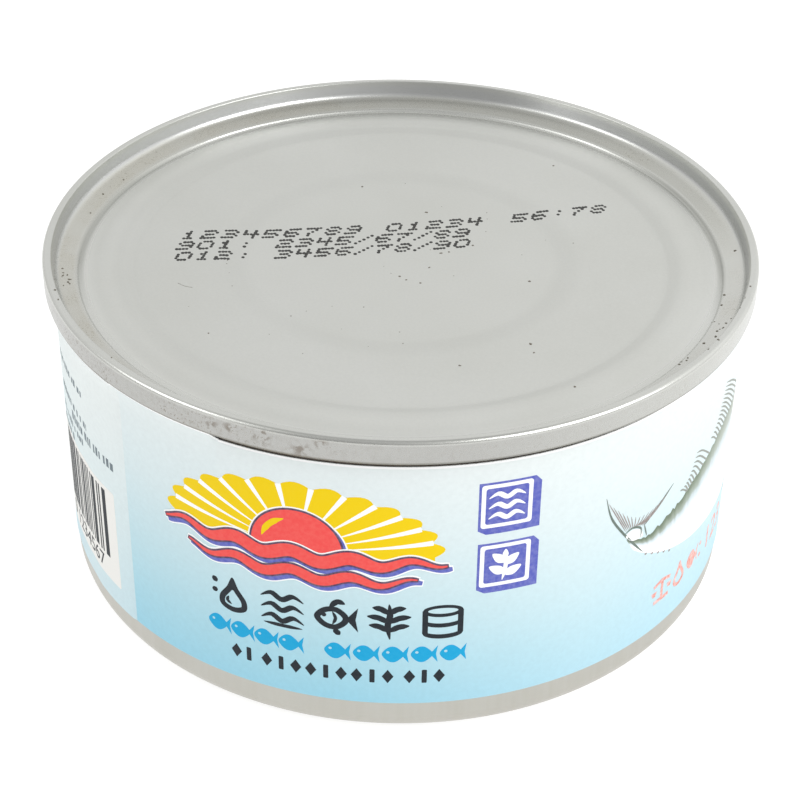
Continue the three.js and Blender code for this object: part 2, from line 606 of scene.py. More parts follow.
# coated label paper: smooth, with a flat sheen; the print pales upwards from sky blue
def coatedPaper():
    material, tree, shader = newMaterial("coatedPaper", Roughness=0.5, Specular_IOR_Level=0.15)
    uv = addNode(tree, "UVMap").outputs["UV"]
    u, v = addNode(tree, "SeparateXYZ", {0: uv}).outputs[:2]
    place = addNode(tree, "TexCoord").outputs["Object"]
    sky = addNode(tree, "ValToRGB", {"Fac": v}, stops=[
        (0.0, hexColour("#9dd3e6")), (0.18, hexColour("#acd8e6")), (0.42, hexColour("#c3e0e8")),
        (0.7, hexColour("#d9e8eb")), (1.0, hexColour("#e6eded"))]).outputs["Color"]
    # towards the sheet's outer end, left of the lap, the print is paler; right of the front it is paler too,
    # painted light where the right lamp falls
    pale = addNode(tree, "ValToRGB", {"Fac": u}, stops=[
        (0.0, grey(0.0)), (0.14, grey(0.0)), (0.24, grey(0.24)), (0.34, grey(0.3)), (0.6, grey(0.1)),
        (0.85, grey(0.2)), (0.96, grey(0.6)), (1.0, grey(0.5))]).outputs["Color"]
    tint = addNode(tree, "Mix", {0: pale, 6: sky, 7: hexColour("#ebefed")}, data_type="RGBA").outputs[2]
    # the paper's own mottle, about 0.6 mm across
    mottle = addNode(tree, "TexNoise", {"Vector": place, "Scale": 1600.0, "Detail": 3.0}).outputs["Fac"]
    faint = addNode(tree, "MapRange", {"Value": mottle, "From Min": 0.3, "From Max": 0.7,
                                       "To Min": 0.942, "To Max": 0.986}).outputs[0]
    tint = addNode(tree, "Mix", {0: 1.0, 6: tint, 7: faint}, data_type="RGBA",
                   blend_type="MULTIPLY").outputs[2]
    # the print stops short of the sheet's top edge
    margin = addNode(tree, "MapRange", {"Value": v, "From Min": 0.990, "From Max": 0.994,
                                        "To Max": 0.85}).outputs[0]
    tint = addNode(tree, "Mix", {0: margin, 6: tint, 7: hexColour("#ffffff")}, data_type="RGBA").outputs[2]
    tree.links.new(tint, shader.inputs["Base Color"])
    # slight waves where the paste wetted the sheet, about 9 mm apart, and the paper's fine tooth
    waves = addNode(tree, "TexNoise", {"Vector": place, "Scale": 110.0, "Detail": 1.0}).outputs["Fac"]
    wavy = addNode(tree, "Bump", {"Height": waves, "Strength": 0.25,
                                  "Distance": 0.15 * mm}).outputs["Normal"]
    tooth = addNode(tree, "Bump", {"Height": mottle, "Strength": 0.15, "Distance": 0.02 * mm,
                                   "Normal": wavy}).outputs["Normal"]
    tree.links.new(tooth, shader.inputs["Normal"])
    return material


# dirt on the lid: brown rubs on the seam's outer side, each a place and a size in millimetres
lidDirt = {
    "rubs": (((-20.1, -38.7, 42.0), 1.3), ((-18.1, -39.7, 42.1), 1.0), ((-14.4, -41.2, 42.3), 1.9),
             ((-10.3, -42.4, 41.3), 1.5), ((-8.1, -42.9, 42.5), 1.3), ((6.1, -43.2, 41.5), 0.8),
             ((10.5, -42.4, 41.0), 0.9)),
    "faintRub": 0.12,              # between those places
    "rubStrength": 0.6,
    "dustStrength": 0.5,
}


# the outer side of the seam, burnished by the seaming rolls from just below its crown
def rolledSide(tree, z, radius):
    outside = addNode(tree, "MapRange", {"Value": radius, "From Min": 43.2 * mm,
                                         "From Max": 43.5 * mm}).outputs[0]
    belowCrown = addNode(tree, "MapRange", {"Value": z, "From Min": canTop - 0.25 * mm,
                                            "From Max": canTop - 0.6 * mm}).outputs[0]
    return addNode(tree, "Math", {0: outside, 1: belowCrown}, operation="MULTIPLY").outputs[0]


# the metal's tone under its lacquer, with painted light and shade
def lacquerToneAndPaintedLight(tree, place, grain, radius, rolled):
    x, y, z = addNode(tree, "SeparateXYZ", {0: place}).outputs
    # clouds about 20 mm across
    cloud = addNode(tree, "TexNoise", {"Vector": place, "Scale": 45.0, "Detail": 3.0}).outputs["Fac"]
    metal = addNode(tree, "ValToRGB", {"Fac": cloud}, stops=[
        (0.3, hexColour("#c8c9c4")), (0.7, hexColour("#cdceca"))]).outputs["Color"]
    fine = addNode(tree, "MapRange", {"Value": grain, "From Min": 0.3, "From Max": 0.7,
                                      "To Min": 0.985, "To Max": 1.015}).outputs[0]
    # painted light: a little brighter towards the right, where the right softbox falls
    paintedLightTowardsRight = addNode(tree, "MapRange", {"Value": x, "From Min": -25 * mm, "From Max": 35 * mm,
                                       "To Min": 1.0, "To Max": 1.05}).outputs[0]
    # painted shade and light from the relief: a little darker in the ring's inner hollow and round the sunk
    # middle, paler on the ring
    paintedReliefShading = addNode(tree, "ValToRGB", {"Fac": addNode(tree, "MapRange", {
        "Value": radius, "From Max": 42 * mm}).outputs[0]}, stops=[
            (0.0, grey(1.0)), (0.44, grey(1.0)), (0.475, grey(0.972)), (0.51, grey(0.978)),
            (0.54, grey(1.0)), (0.765, grey(1.0)), (0.79, grey(0.965)), (0.812, grey(0.975)),
            (0.85, grey(1.025)), (0.915, grey(1.025)), (0.93, grey(1.0))]).outputs["Color"]
    for factor in (fine, paintedLightTowardsRight):
        metal = addNode(tree, "Mix", {0: 1.0, 6: metal, 7: factor}, data_type="RGBA",
                        blend_type="MULTIPLY").outputs[2]
    # the rolled side is a little darker, partly worn metal and partly painted shade; less so at the right,
    # painted light where the right lamp falls
    paintedLightOnRolledRight = addNode(tree, "MapRange", {"Value": x, "From Min": 8 * mm, "From Max": 38 * mm,
                                           "To Min": 1.0, "To Max": 0.3}).outputs[0]
    rolledShadeLessRight = addNode(tree, "Math", {0: rolled, 1: paintedLightOnRolledRight}, operation="MULTIPLY").outputs[0]
    # painted shade: a dark line along the seam's foot, where its rounding mirrors the dark gap below
    foot = addNode(tree, "MapRange", {"Value": z, "From Min": canTop - 2.64 * mm,
                                      "From Max": canTop - 2.8 * mm, "To Max": 0.75}).outputs[0]
    onFoot = addNode(tree, "MapRange", {"Value": radius, "From Min": 43.0 * mm,
                                        "From Max": 43.1 * mm}).outputs[0]
    foot = addNode(tree, "Math", {0: foot, 1: onFoot}, operation="MULTIPLY").outputs[0]
    # the wall inside the seam: neutral grey, and darker towards the right as painted shade
    wall = addNode(tree, "ValToRGB", {"Fac": addNode(tree, "MapRange", {
        "Value": radius, "From Min": 41 * mm, "From Max": 43 * mm}).outputs[0]}, stops=[
            (0.48, grey(0.0)), (0.58, grey(1.0)), (0.7, grey(1.0)), (0.76, grey(0.0))]).outputs["Color"]
    drawn = addNode(tree, "MapRange", {"Value": x, "From Min": 8 * mm, "From Max": 28 * mm}).outputs[0]
    drawn = addNode(tree, "Mix", {0: drawn, 6: hexColour("#cacbca"), 7: hexColour("#bbbcbb")},
                    data_type="RGBA").outputs[2]
    for amount, tint in ((rolledShadeLessRight, hexColour("#b1b1ae")), (foot, hexColour("#817d75")), (wall, drawn)):
        metal = addNode(tree, "Mix", {0: amount, 6: metal, 7: tint}, data_type="RGBA").outputs[2]
    return addNode(tree, "Mix", {0: 1.0, 6: metal, 7: paintedReliefShading}, data_type="RGBA",
                   blend_type="MULTIPLY").outputs[2]


# painted shade along the panel's edge at the two sides, from the step and wall beside it, and more weakly on
# the shoulder behind, most of it on the right
def paintedRimShade(tree, x, y, radius):
    sideways = addNode(tree, "Math", {0: x}, operation="ABSOLUTE").outputs[0]
    aside = addNode(tree, "Math", {0: sideways, 1: radius}, operation="DIVIDE").outputs[0]
    aside = addNode(tree, "MapRange", {"Value": aside, "From Min": 0.66, "From Max": 0.9}).outputs[0]
    behind = addNode(tree, "MapRange", {"Value": y, "From Min": -14 * mm, "From Max": -2 * mm}).outputs[0]
    edge = addNode(tree, "ValToRGB", {"Fac": addNode(tree, "MapRange", {
        "Value": radius, "From Min": 38 * mm, "From Max": 41 * mm}).outputs[0]}, stops=[
            (0.24, grey(0.0)), (0.42, grey(0.9)), (0.5, grey(1.0)), (0.66, grey(0.0))]).outputs["Color"]
    onShoulder = addNode(tree, "ValToRGB", {"Fac": addNode(tree, "MapRange", {
        "Value": radius, "From Min": 38 * mm, "From Max": 43 * mm}).outputs[0]}, stops=[
            (0.34, grey(0.0)), (0.4, grey(1.0)), (0.66, grey(1.0)), (0.78, grey(0.2)),
            (0.82, grey(0.0))]).outputs["Color"]
    rightward = addNode(tree, "MapRange", {"Value": x, "From Min": -15 * mm, "From Max": 25 * mm,
                                           "To Min": 0.22, "To Max": 0.5}).outputs[0]
    farther = addNode(tree, "MapRange", {"Value": y, "From Min": 0.0, "From Max": 14 * mm}).outputs[0]
    for factor in (behind, edge, 0.85):
        aside = addNode(tree, "Math", {0: aside, 1: factor}, operation="MULTIPLY").outputs[0]
    for factor in (rightward, farther):
        onShoulder = addNode(tree, "Math", {0: onShoulder, 1: factor}, operation="MULTIPLY").outputs[0]
    return addNode(tree, "Math", {0: aside, 1: onShoulder}, operation="MAXIMUM").outputs[0]


# brown rubs on the seam, left of the front
def seamRubs(tree, place, x, rolled, dirt):
    smear = addNode(tree, "TexNoise", {"Vector": place, "Scale": 1500.0, "Detail": 3.0}).outputs["Fac"]
    smear = addNode(tree, "MapRange", {"Value": smear, "From Min": 0.46, "From Max": 0.62}).outputs[0]
    rubs = dirt["faintRub"]
    for spot, size in dirt["rubs"]:
        away = addNode(tree, "VectorMath", {0: place, 1: tuple(c * mm for c in spot)}, operation="DISTANCE")
        near = addNode(tree, "MapRange", {"Value": away.outputs["Value"], "From Min": size * mm,
                                          "From Max": 0.2 * size * mm}).outputs[0]
        rubs = addNode(tree, "Math", {0: rubs, 1: near}, operation="MAXIMUM").outputs[0]
    front = addNode(tree, "MapRange", {"Value": x, "From Min": 6 * mm, "From Max": -2 * mm,
                                       "To Min": 0.3}).outputs[0]
    for factor in (rolled, rubs, front, dirt["rubStrength"]):
        smear = addNode(tree, "Math", {0: smear, 1: factor}, operation="MULTIPLY").outputs[0]
    return smear


# tin-plated steel under a thin grey lacquer: an even, dull grey that mirrors the lights softly
def lacqueredTinplate(dirt):
    material, tree, shader = newMaterial("lacqueredTinplate", Specular_IOR_Level=0.2)
    place = addNode(tree, "TexCoord").outputs["Object"]
    x, y, z = addNode(tree, "SeparateXYZ", {0: place}).outputs
    level = addNode(tree, "VectorMath", {0: place, 1: (1, 1, 0)}, operation="MULTIPLY").outputs[0]
    radius = addNode(tree, "VectorMath", {0: level}, operation="LENGTH").outputs["Value"]
    # the lacquer's own grain, about 0.3 mm
    grain = addNode(tree, "TexNoise", {"Vector": place, "Scale": 3200.0, "Detail": 2.0}).outputs["Fac"]
    rolled = rolledSide(tree, z, radius)
    metal = lacquerToneAndPaintedLight(tree, place, grain, radius, rolled)
    # painted shade on the panel's edge and on the shoulder behind
    rimShade = paintedRimShade(tree, x, y, radius)
    metal = addNode(tree, "Mix", {0: rimShade, 6: metal, 7: hexColour("#a3a49e")}, data_type="RGBA").outputs[2]
    # dust and grease that gather on the shoulder and on the seam's outer side: grit of about 0.3 mm,
    # in patches of about 6 mm
    grit = addNode(tree, "TexNoise", {"Vector": place, "Scale": 3600.0, "Detail": 4.0}).outputs["Fac"]
    patch = addNode(tree, "TexNoise", {"Vector": place, "Scale": 160.0, "Detail": 2.0}).outputs["Fac"]
    dusty = addNode(tree, "MapRange", {"Value": grit, "From Min": 0.57, "From Max": 0.68}).outputs[0]
    patchy = addNode(tree, "MapRange", {"Value": patch, "From Min": 0.42, "From Max": 0.66}).outputs[0]
    shoulder = addNode(tree, "MapRange", {"Value": radius, "From Min": 39.5 * mm,
                                          "From Max": 40.2 * mm}).outputs[0]
    belowWall = addNode(tree, "MapRange", {"Value": radius, "From Min": 42.0 * mm,
                                           "From Max": 41.7 * mm}).outputs[0]
    shoulder = addNode(tree, "Math", {0: shoulder, 1: belowWall}, operation="MULTIPLY").outputs[0]
    outside = addNode(tree, "Math", {0: shoulder, 1: rolled}, operation="ADD").outputs[0]
    leftward = addNode(tree, "MapRange", {"Value": x, "From Min": 5 * mm, "From Max": -18 * mm,
                                          "To Min": 0.4, "To Max": 1.0}).outputs[0]
    for factor in (patchy, outside, leftward, dirt["dustStrength"]):
        dusty = addNode(tree, "Math", {0: dusty, 1: factor}, operation="MULTIPLY").outputs[0]
    # a beige film of old oil on the shoulder's left, less of it at the front, where hands wipe it
    unwiped = addNode(tree, "MapRange", {"Value": y, "From Min": -34 * mm, "From Max": -16 * mm,
                                         "To Min": 0.3, "To Max": 1.0}).outputs[0]
    film = shoulder
    for factor in (leftward, patch, unwiped):
        film = addNode(tree, "Math", {0: film, 1: factor}, operation="MULTIPLY").outputs[0]
    smear = seamRubs(tree, place, x, rolled, dirt)
    tint = metal
    for amount, colour in ((dusty, "#9a9080"), (film, "#b9b6aa"), (smear, "#6a5c4e")):
        tint = addNode(tree, "Mix", {0: amount, 6: tint, 7: hexColour(colour)}, data_type="RGBA").outputs[2]
    tree.links.new(tint, shader.inputs["Base Color"])
    # the panel is duller than the rim, and its lacquer hides more of the metal
    sheen = addNode(tree, "MapRange", {"Value": radius, "From Min": 37.4 * mm, "From Max": 38.6 * mm,
                                       "To Min": 0.5, "To Max": 0.27}).outputs[0]
    rough = addNode(tree, "Math", {0: sheen, 1: dusty}, operation="ADD").outputs[0]
    tree.links.new(rough, shader.inputs["Roughness"])
    bare = addNode(tree, "MapRange", {"Value": radius, "From Min": 38.5 * mm, "From Max": 40.0 * mm,
                                      "To Min": 0.7, "To Max": 1.0}).outputs[0]
    tree.links.new(bare, shader.inputs["Metallic"])
    bump = addNode(tree, "Bump", {"Height": grain, "Strength": 0.016,
                                  "Distance": 0.02 * mm}).outputs["Normal"]
    tree.links.new(bump, shader.inputs["Normal"])
    return material


# bare tinplate of the drawn wall: faint upright draw marks, a little brighter than the lid
def drawnTinplate():
    material, tree, shader = newMaterial("drawnTinplate", Metallic=1.0)
    place = addNode(tree, "TexCoord").outputs["Object"]
    # the draw marks are about 0.7 mm apart and a dozen millimetres long
    stretched = addNode(tree, "Mapping", {"Vector": place, "Scale": (1, 1, 0.06)}).outputs[0]
    marks = addNode(tree, "TexNoise", {"Vector": stretched, "Scale": 1400.0, "Detail": 3.0}).outputs["Fac"]
    cloud = addNode(tree, "TexNoise", {"Vector": place, "Scale": 130.0, "Detail": 3.0}).outputs["Fac"]
    tint = addNode(tree, "ValToRGB", {"Fac": marks}, stops=[
        (0.3, hexColour("#b9b7af")), (0.7, hexColour("#bcbab3"))]).outputs["Color"]
    # the crevice under the seam: dirt and painted shade where the seam overhangs it
    z = addNode(tree, "SeparateXYZ", {0: place}).outputs[2]
    creviceDirtAndShade = addNode(tree, "MapRange", {"Value": z, "From Min": canTop - 4.5 * mm,
                                         "From Max": canTop - 4.25 * mm}).outputs[0]
    tint = addNode(tree, "Mix", {0: creviceDirtAndShade, 6: tint, 7: hexColour("#5d5750")}, data_type="RGBA").outputs[2]
    tree.links.new(tint, shader.inputs["Base Color"])
    rough = addNode(tree, "MapRange", {"Value": cloud, "From Min": 0.3, "From Max": 0.7,
                                       "To Min": 0.3, "To Max": 0.42}).outputs[0]
    tree.links.new(rough, shader.inputs["Roughness"])
    bump = addNode(tree, "Bump", {"Height": marks, "Strength": 0.03,
                                  "Distance": 0.02 * mm}).outputs["Normal"]
    tree.links.new(bump, shader.inputs["Normal"])
    return material


finishPiece(canBody, drawnTinplate(), "tinplate", "can_body")
finishPiece(canLid, lacqueredTinplate(lidDirt), "lid_metal", "lid")
finishPiece(paperLabel, coatedPaper(), "label_paper", "paper_label")
print("finishes set")


# inks of the label
inkYellow = offsetInk("inkYellow", "#efcd00", worn="#edd640")
inkRed = offsetInk("inkRed", "#ef5350", worn="#f58a80", fade=0.2)
inkPaleRed = offsetInk("inkPaleRed", "#de8d80", fade=0.5)
inkViolet = offsetInk("inkViolet", "#5a62b8")
inkPlum = offsetInk("inkPlum", "#56405a")
inkWhite = offsetInk("inkWhite", "#fbfcfb", worn="#dfe9ee")
inkBlack = offsetInk("inkBlack", "#23282e", worn="#56606a")
inkCyan = offsetInk("inkCyan", "#14a3d6", worn="#4dbbe0")
inkGrey = offsetInk("inkGrey", "#66737a", worn="#a9b7bd", fade=0.3)

# the emblem: a fan of yellow rays behind a red half sun, over two red swells
emblem = {
    "middle": (-11.3, -16.5),
    "rays": 13,
    "reach": (15.6, 8.5),
    "sun": 5.3,
    "swells": (((-28.3, 5.7), -17.35, 1.75), ((-25.0, 2.4), -20.0, 1.35)),
    "swellLength": 6.8,
    "swellRise": 0.5,
    "halo": 0.42,
    "edge": 0.24,
    "shade": (0.42, -0.46),
}


def fanOfRays(parts):
    # the fan's scalloped outline, and the thin wedges between its rays
    across, up = parts["reach"]
    rays = parts["rays"]
    outline = [(across, -1.2), (-across, -1.2)]
    wedges = []
    for i in range(rays):
        for j in range(9):
            angle = math.pi * (1 - (i + j / 8) / rays)
            bulge = 1 + 0.08 * math.sin(math.pi * j / 8)
            outline.append((across * bulge * math.cos(angle), up * bulge * math.sin(angle)))
        if i:
            angle = math.pi * (1 - i / rays)
            way = Vector((across * math.cos(angle), up * math.sin(angle)))
            side = Vector((-way.y, way.x)).normalized() * 0.34
            wedges.append([tuple(way * 0.3), tuple(way * 1.015 - side), tuple(way * 1.015 + side)])
    return outline, wedges


def swellStroke(ends, level, width, length, rise):
    points = []
    steps = round((ends[1] - ends[0]) / length * 12)
    for i in range(steps + 1):
        along = ends[0] + (ends[1] - ends[0]) * i / steps
        points.append((along, level + rise * math.sin(2 * math.pi * along / length)))
    return brushStroke(points, width, steps=2)


def makeEmblem(parts):
    middle = parts["middle"]
    fan, wedges = fanOfRays(parts)
    printPiece("emblemFan", [inkShape([moved(fan, middle)])], inkYellow)
    arc = [math.pi * i / 40 for i in range(41)]
    sun = [(parts["sun"] * math.cos(angle), parts["sun"] * math.sin(angle)) for angle in arc]
    sun = moved([(parts["sun"], -1.0)] + sun + [(-parts["sun"], -1.0)], middle)
    swells = [swellStroke(*swell, parts["swellLength"], parts["swellRise"]) for swell in parts["swells"]]
    shades = [[(x + parts["shade"][0], y + parts["shade"][1]) for x, y in each] for each in [sun] + swells]
    halos = [inkShape([moved(wedge, middle)], 1) for wedge in wedges]
    halos += [inkShape([grown(each, parts["halo"])], 1) for each in (sun, shades[0])]
    printPiece("emblemHalo", halos, inkWhite)
    printPiece("emblemSunShade", [inkShape([grown(shades[0], parts["edge"])], 2)], inkViolet)
    printPiece("emblemSunEdge", [inkShape([grown(sun, parts["edge"])], 3)], inkPlum)
    printPiece("emblemSun", [inkShape([sun], 4)], inkRed)
    light = [(4.1 * math.cos(angle), 4.1 * math.sin(angle)) for angle in (1.9, 2.15, 2.4, 2.65, 2.9)]
    printPiece("emblemLight", [inkShape([brushStroke(moved(light, middle), 0.75)], 5)], inkYellow)
    foam = [inkShape([grown(each, parts["halo"])], 5) for each in swells + shades[1:]]
    printPiece("emblemFoam", foam, inkWhite)
    swellShades = [inkShape([grown(each, parts["edge"])], 6) for each in shades[1:]]
    printPiece("emblemSwellShades", swellShades, inkViolet)
    swellEdges = [inkShape([grown(each, parts["edge"])], 7) for each in swells]
    printPiece("emblemSwellEdges", swellEdges, inkPlum)
    printPiece("emblemSwells", [inkShape([each], 8) for each in swells], inkRed)


makeEmblem(emblem)

# two white tiles with violet edges and depth: one shows waves, the other a sprig
tiles = {
    "wavesMiddle": (12.2, -10.1),
    "sprigMiddle": (12.3, -18.5),
    "half": 2.95,
    "depth": (0.75, -0.6),
}


def makeTiles(parts):
    sides = []
    faces = []
    fields = []
    marks = []
    half = parts["half"]
    dx, dy = parts["depth"]
    for x, y in (parts["wavesMiddle"], parts["sprigMiddle"]):
        left, right, low, high = x - half, x + half, y - half, y + half
        sides.append(inkShape([[(left - 0.3, low - 0.3), (left - 0.3, high + 0.3), (right + 0.3, high + 0.3),
                                (right + dx + 0.25, high + dy + 0.1), (right + dx + 0.25, low + dy - 0.3),
                                (left + dx - 0.1, low + dy - 0.3)]]))
        faces.append(inkShape([block(left, right, low, high, 0.35)], 1))
        fields.append(inkShape([block(left + 0.5, right - 0.5, low + 0.5, high - 0.5, 0.3)], 2))
    x, y = parts["wavesMiddle"]
    for row in (-1.4, 0.0, 1.4):
        ripple = [(x - 2.1 + 1.05 * i, y + row + (0.28 if i % 2 else -0.28)) for i in range(5)]
        marks.append(inkShape([brushStroke(ripple, 0.62)], 3))
    x, y = parts["sprigMiddle"]
    stem = [(x - 0.3, y - 2.2), (x, y - 0.8), (x + 0.1, y + 0.8), (x, y + 1.6)]
    marks.append(inkShape([brushStroke(stem, 0.5)], 3))
    leaf = [(0, 0), (0.7, 0.6), (1.5, 0.52), (2.3, 0), (1.5, -0.52), (0.7, -0.6)]
    for turn, up, size in ((0.5, -1.5, 0.95), (2.6, -1.2, 0.95), (0.7, 0.0, 0.9), (2.4, 0.3, 0.9),
                           (1.57, 0.9, 0.55)):
        marks.append(inkShape([smoothLine(moved(leaf, (x, y + up), size, turn), 4, closed=True)], 3))
    printPiece("tileSides", sides, inkViolet)
    printPiece("tileFaces", faces, inkWhite)
    printPiece("tileFields", fields, inkViolet)
    printPiece("tileMarks", marks, inkWhite)


makeTiles(tiles)

# a row of five black pictures: oil drop, waves, fish, sprig and can
pictures = {"middles": (-19.3, -13.1, -6.8, -0.7, 5.4), "level": -25.8, "stroke": 0.74}


def ring(outline, width):
    return [outline, grown(outline, -width)]


def makePictures(parts):
    level = parts["level"]
    line = parts["stroke"]
    dropAt, wavesAt, fishAt, sprigAt, canAt = [(along, level) for along in parts["middles"]]
    shapes = []

    def stroke(points, middle, width=line, **ends):
        shapes.append(inkShape([brushStroke(moved(points, middle), width, **ends)]))

    drop = smoothLine([(0, 2.6), (0.75, 1.1), (1.75, -0.5), (1.6, -1.9), (0, -2.5), (-1.6, -1.9),
                       (-1.75, -0.5), (-0.75, 1.1)], 8, closed=True)
    shapes.append(inkShape(ring(moved(drop, dropAt), line)))
    stroke([(-0.55, -0.3), (-0.75, -0.95), (-0.2, -1.4)], dropAt, 0.42)
    stroke([(-2.6, 1.9), (-2.1, 1.2)], dropAt)
    stroke([(-2.6, 0.3), (-2.2, -0.3)], dropAt)
    for up in (1.75, 0.15, -1.45):
        stroke([(1.3 * i, up + (0.36 if i % 2 else -0.36)) for i in (-2, -1, 0, 1, 2)], wavesAt)
    stroke([(-2.3, -2.45), (2.4, -2.45)], wavesAt, 0.5)
    body = smoothLine([(-2.5, 0.0), (-1.5, 1.35), (0.1, 1.65), (1.4, 0.6), (1.4, -0.6), (0.1, -1.65),
                       (-1.5, -1.35)], 8, closed=True)
    shapes.append(inkShape(ring(moved(body, fishAt), line)))
    shapes.append(inkShape([moved([(1.2, 0.0), (2.6, 1.8), (2.3, 0), (2.6, -1.8)], fishAt)]))
    shapes.append(inkShape([moved(oval((-1.35, 0.35), 0.3, 0.3, 12), fishAt)]))
    stroke([(-0.35, 0.95), (0.0, 0), (-0.35, -0.95)], fishAt, 0.4)
    stroke([(-0.7, 1.5), (0.2, 2.45), (1.1, 2.2)], fishAt)
    stroke([(-0.2, -1.6), (0.5, -2.4)], fishAt)
    stroke([(0.1, -2.6), (-0.15, -0.6), (0.1, 1.0), (0, 2.6)], sprigAt)
    for side in (-1, 1):
        for up, reach in ((-1.5, 2.3), (-0.2, 2.5), (1.1, 1.9)):
            stroke([(0, up), (side * reach * 0.45, up + 0.75), (side * reach, up + 0.95)], sprigAt, 0.78)

    def arc(level, half, way=-1):
        places = [half * (i / 12 - 1) for i in range(25)]
        return [(x, level + way * 0.85 * math.sqrt(max(0.0, 1 - (x / 2.35) ** 2))) for x in places]

    can = [arc(1.5, 2.35, 1) + arc(-1.75, 2.35)[::-1], oval((0, 1.5), 1.72, 0.42, 32),
           arc(1.45, 1.7) + arc(0.5, 1.7)[::-1], arc(-0.1, 1.7) + arc(-1.12, 1.7)[::-1]]
    shapes.append(inkShape([moved(outline, canAt) for outline in can]))
    printPiece("pictureRow", shapes, inkBlack)


makePictures(pictures)

# a row of cyan fish in two shoals, and a row of small black diamonds
rows = {
    "fishLevel": -30.65,
    "fishStarts": ((-21.3, 3.05, 4), (-6.65, 3.32, 5)),
    "diamondLevel": -34.05,
    "diamondStarts": ((-19.1, 1.62, 2), (-15.2, 1.80, 9), (1.7, 1.72, 3)),
}


def makeRows(parts):
    swimmer = smoothLine([(-1.5, 0.0), (-0.8, 1.0), (0.0, 1.15), (0.75, 0.55), (1.05, 0.0), (0.75, -0.55),
                          (0.0, -1.15), (-0.8, -1.0)], 5, closed=True)
    tail = [(0.7, 0.0), (1.6, 1.25), (1.4, 0.0), (1.6, -1.25)]
    eye = oval((-0.8, 0.3), 0.2, 0.2, 10)
    fish = []
    for start, pitch, count in parts["fishStarts"]:
        for i in range(count):
            middle = (start + pitch * i, parts["fishLevel"])
            fish.append(inkShape([moved(swimmer, middle), moved(eye, middle)]))
            fish.append(inkShape([moved(tail, middle)]))
    printPiece("cyanShoal", fish, inkCyan)
    diamonds = []
    for start, pitch, count in parts["diamondStarts"]:
        for i in range(count):
            shape = [(-0.68, 0), (0, 1.02), (0.68, 0), (0, -1.02)]
            if i % 3 == 1:
                shape = block(-0.3, 0.3, -1.0, 1.0, 0.12)
            diamonds.append(inkShape([moved(shape, (start + pitch * i, parts["diamondLevel"]))]))
    printPiece("diamondRow", diamonds, inkBlack)


makeRows(rows)
print("front print made")


# the fish at the right of the front: grey-green back, pale flank, white belly
fishBack = [(28.6, -20.9), (31.5, -21.9), (34.5, -21.5), (37.5, -20.5), (41, -19.0), (45, -17.4),
            (50, -15.8), (54, -15.8), (58, -15.5), (62, -15.0), (70, -14.3), (77, -14.9), (83, -16.5),
            (87.5, -18.6), (90, -20.4)]
fishBelly = [(29.8, -22.9), (31.5, -24.2), (34.5, -25.8), (37.5, -26.9), (41, -27.8), (45, -28.4),
             (50, -28.9), (56, -29.2), (62, -29.0), (70, -28.0), (77, -26.2), (83, -24.0), (87.5, -22.0),
             (90, -20.9)]
fishParts = {
    "columns": 150,
    "rows": 20,
    "teeth": 0.28,                 # how ragged the back's edge is near the tail
    "finlets": (
        {"count": 10, "feet": (39.7, 45.2), "spread": 1.5, "tips": ((38.0, -18.7), (41.2, -15.0)),
         "rise": 1.5},
        {"count": 14, "feet": (47.3, 58.6), "spread": 1.25, "tips": ((45.1, -15.2), (48.9, -9.5)),
         "rise": 1.1},
    ),
    "tailEdges": (
        ([(24.9, -13.3), (25.9, -16.5), (28.0, -19.7), (30.3, -22.6), (31.6, -24.1)], 0.3),
        ([(36.3, -16.6), (34.0, -18.2), (31.4, -20.1)], 0.22),
        ([(28.1, -19.9), (29.4, -19.5), (30.8, -20.2), (30.9, -21.6)], 0.28),
        ([(31.4, -20.0), (32.0, -21.9)], 0.18),
    ),
    "headLines": (                 # mouth, gill and breast fin
        ([(89.6, -20.9), (87.6, -21.3), (85.8, -21.2)], 0.3),
        ([(80.6, -15.6), (79.2, -18.8), (79.4, -22.0), (80.8, -24.2)], 0.36),
        ([(77.6, -20.3), (72.0, -20.0), (66.5, -21.6)], 1.3),
    ),
    "bellyFins": ((59, -29.0), (71, -27.9)),
    "eye": (84.6, -18.9),
    "rays": 15,
}


def fishSkin():
    material, tree, shader = newMaterial("inkFishSkin", Roughness=0.5, Specular_IOR_Level=0.15)
    uv = addNode(tree, "UVMap").outputs["UV"]
    u, v = addNode(tree, "SeparateXYZ", {0: uv}).outputs[:2]
    place = addNode(tree, "TexCoord").outputs["Object"]
    # brush marks about 1 mm apart
    strokes = addNode(tree, "TexNoise", {"Vector": place, "Scale": 900.0, "Detail": 3.0}).outputs["Fac"]
    wander = addNode(tree, "MapRange", {"Value": strokes, "To Min": -0.05, "To Max": 0.05}).outputs[0]
    # the dark of the back reaches lower near the tail
    lower = addNode(tree, "MapRange", {"Value": u, "From Min": 0.06, "From Max": 0.26,
                                       "To Min": 0.09, "To Max": -0.03}).outputs[0]
    across = v
    for shift in (wander, lower):
        across = addNode(tree, "Math", {0: across, 1: shift}, operation="ADD").outputs[0]
    skin = addNode(tree, "ValToRGB", {"Fac": across}, stops=[
        (0.0, hexColour("#fbfdfd")), (0.45, hexColour("#fafcfd")), (0.64, hexColour("#e0e9ee")),
        (0.75, hexColour("#c3d0d3")), (0.81, hexColour("#a2ada3")), (0.92, hexColour("#859180")),
        (1.0, hexColour("#707d6b"))]).outputs["Color"]
    # the ink of the back thins out towards the head
    thin = addNode(tree, "MapRange", {"Value": u, "From Min": 0.22, "From Max": 0.46,
                                      "To Max": 0.38}).outputs[0]
    skin = addNode(tree, "Mix", {0: thin, 6: skin, 7: hexColour("#dfe1de")}, data_type="RGBA").outputs[2]
    tree.links.new(skin, shader.inputs["Base Color"])
    return material


def heightOn(edge, along):
    for (x0, y0), (x1, y1) in zip(edge, edge[1:]):
        if x0 <= along <= x1:
            return y0 + (y1 - y0) * (along - x0) / (x1 - x0)
    return edge[-1][1] if along > edge[-1][0] else edge[0][1]


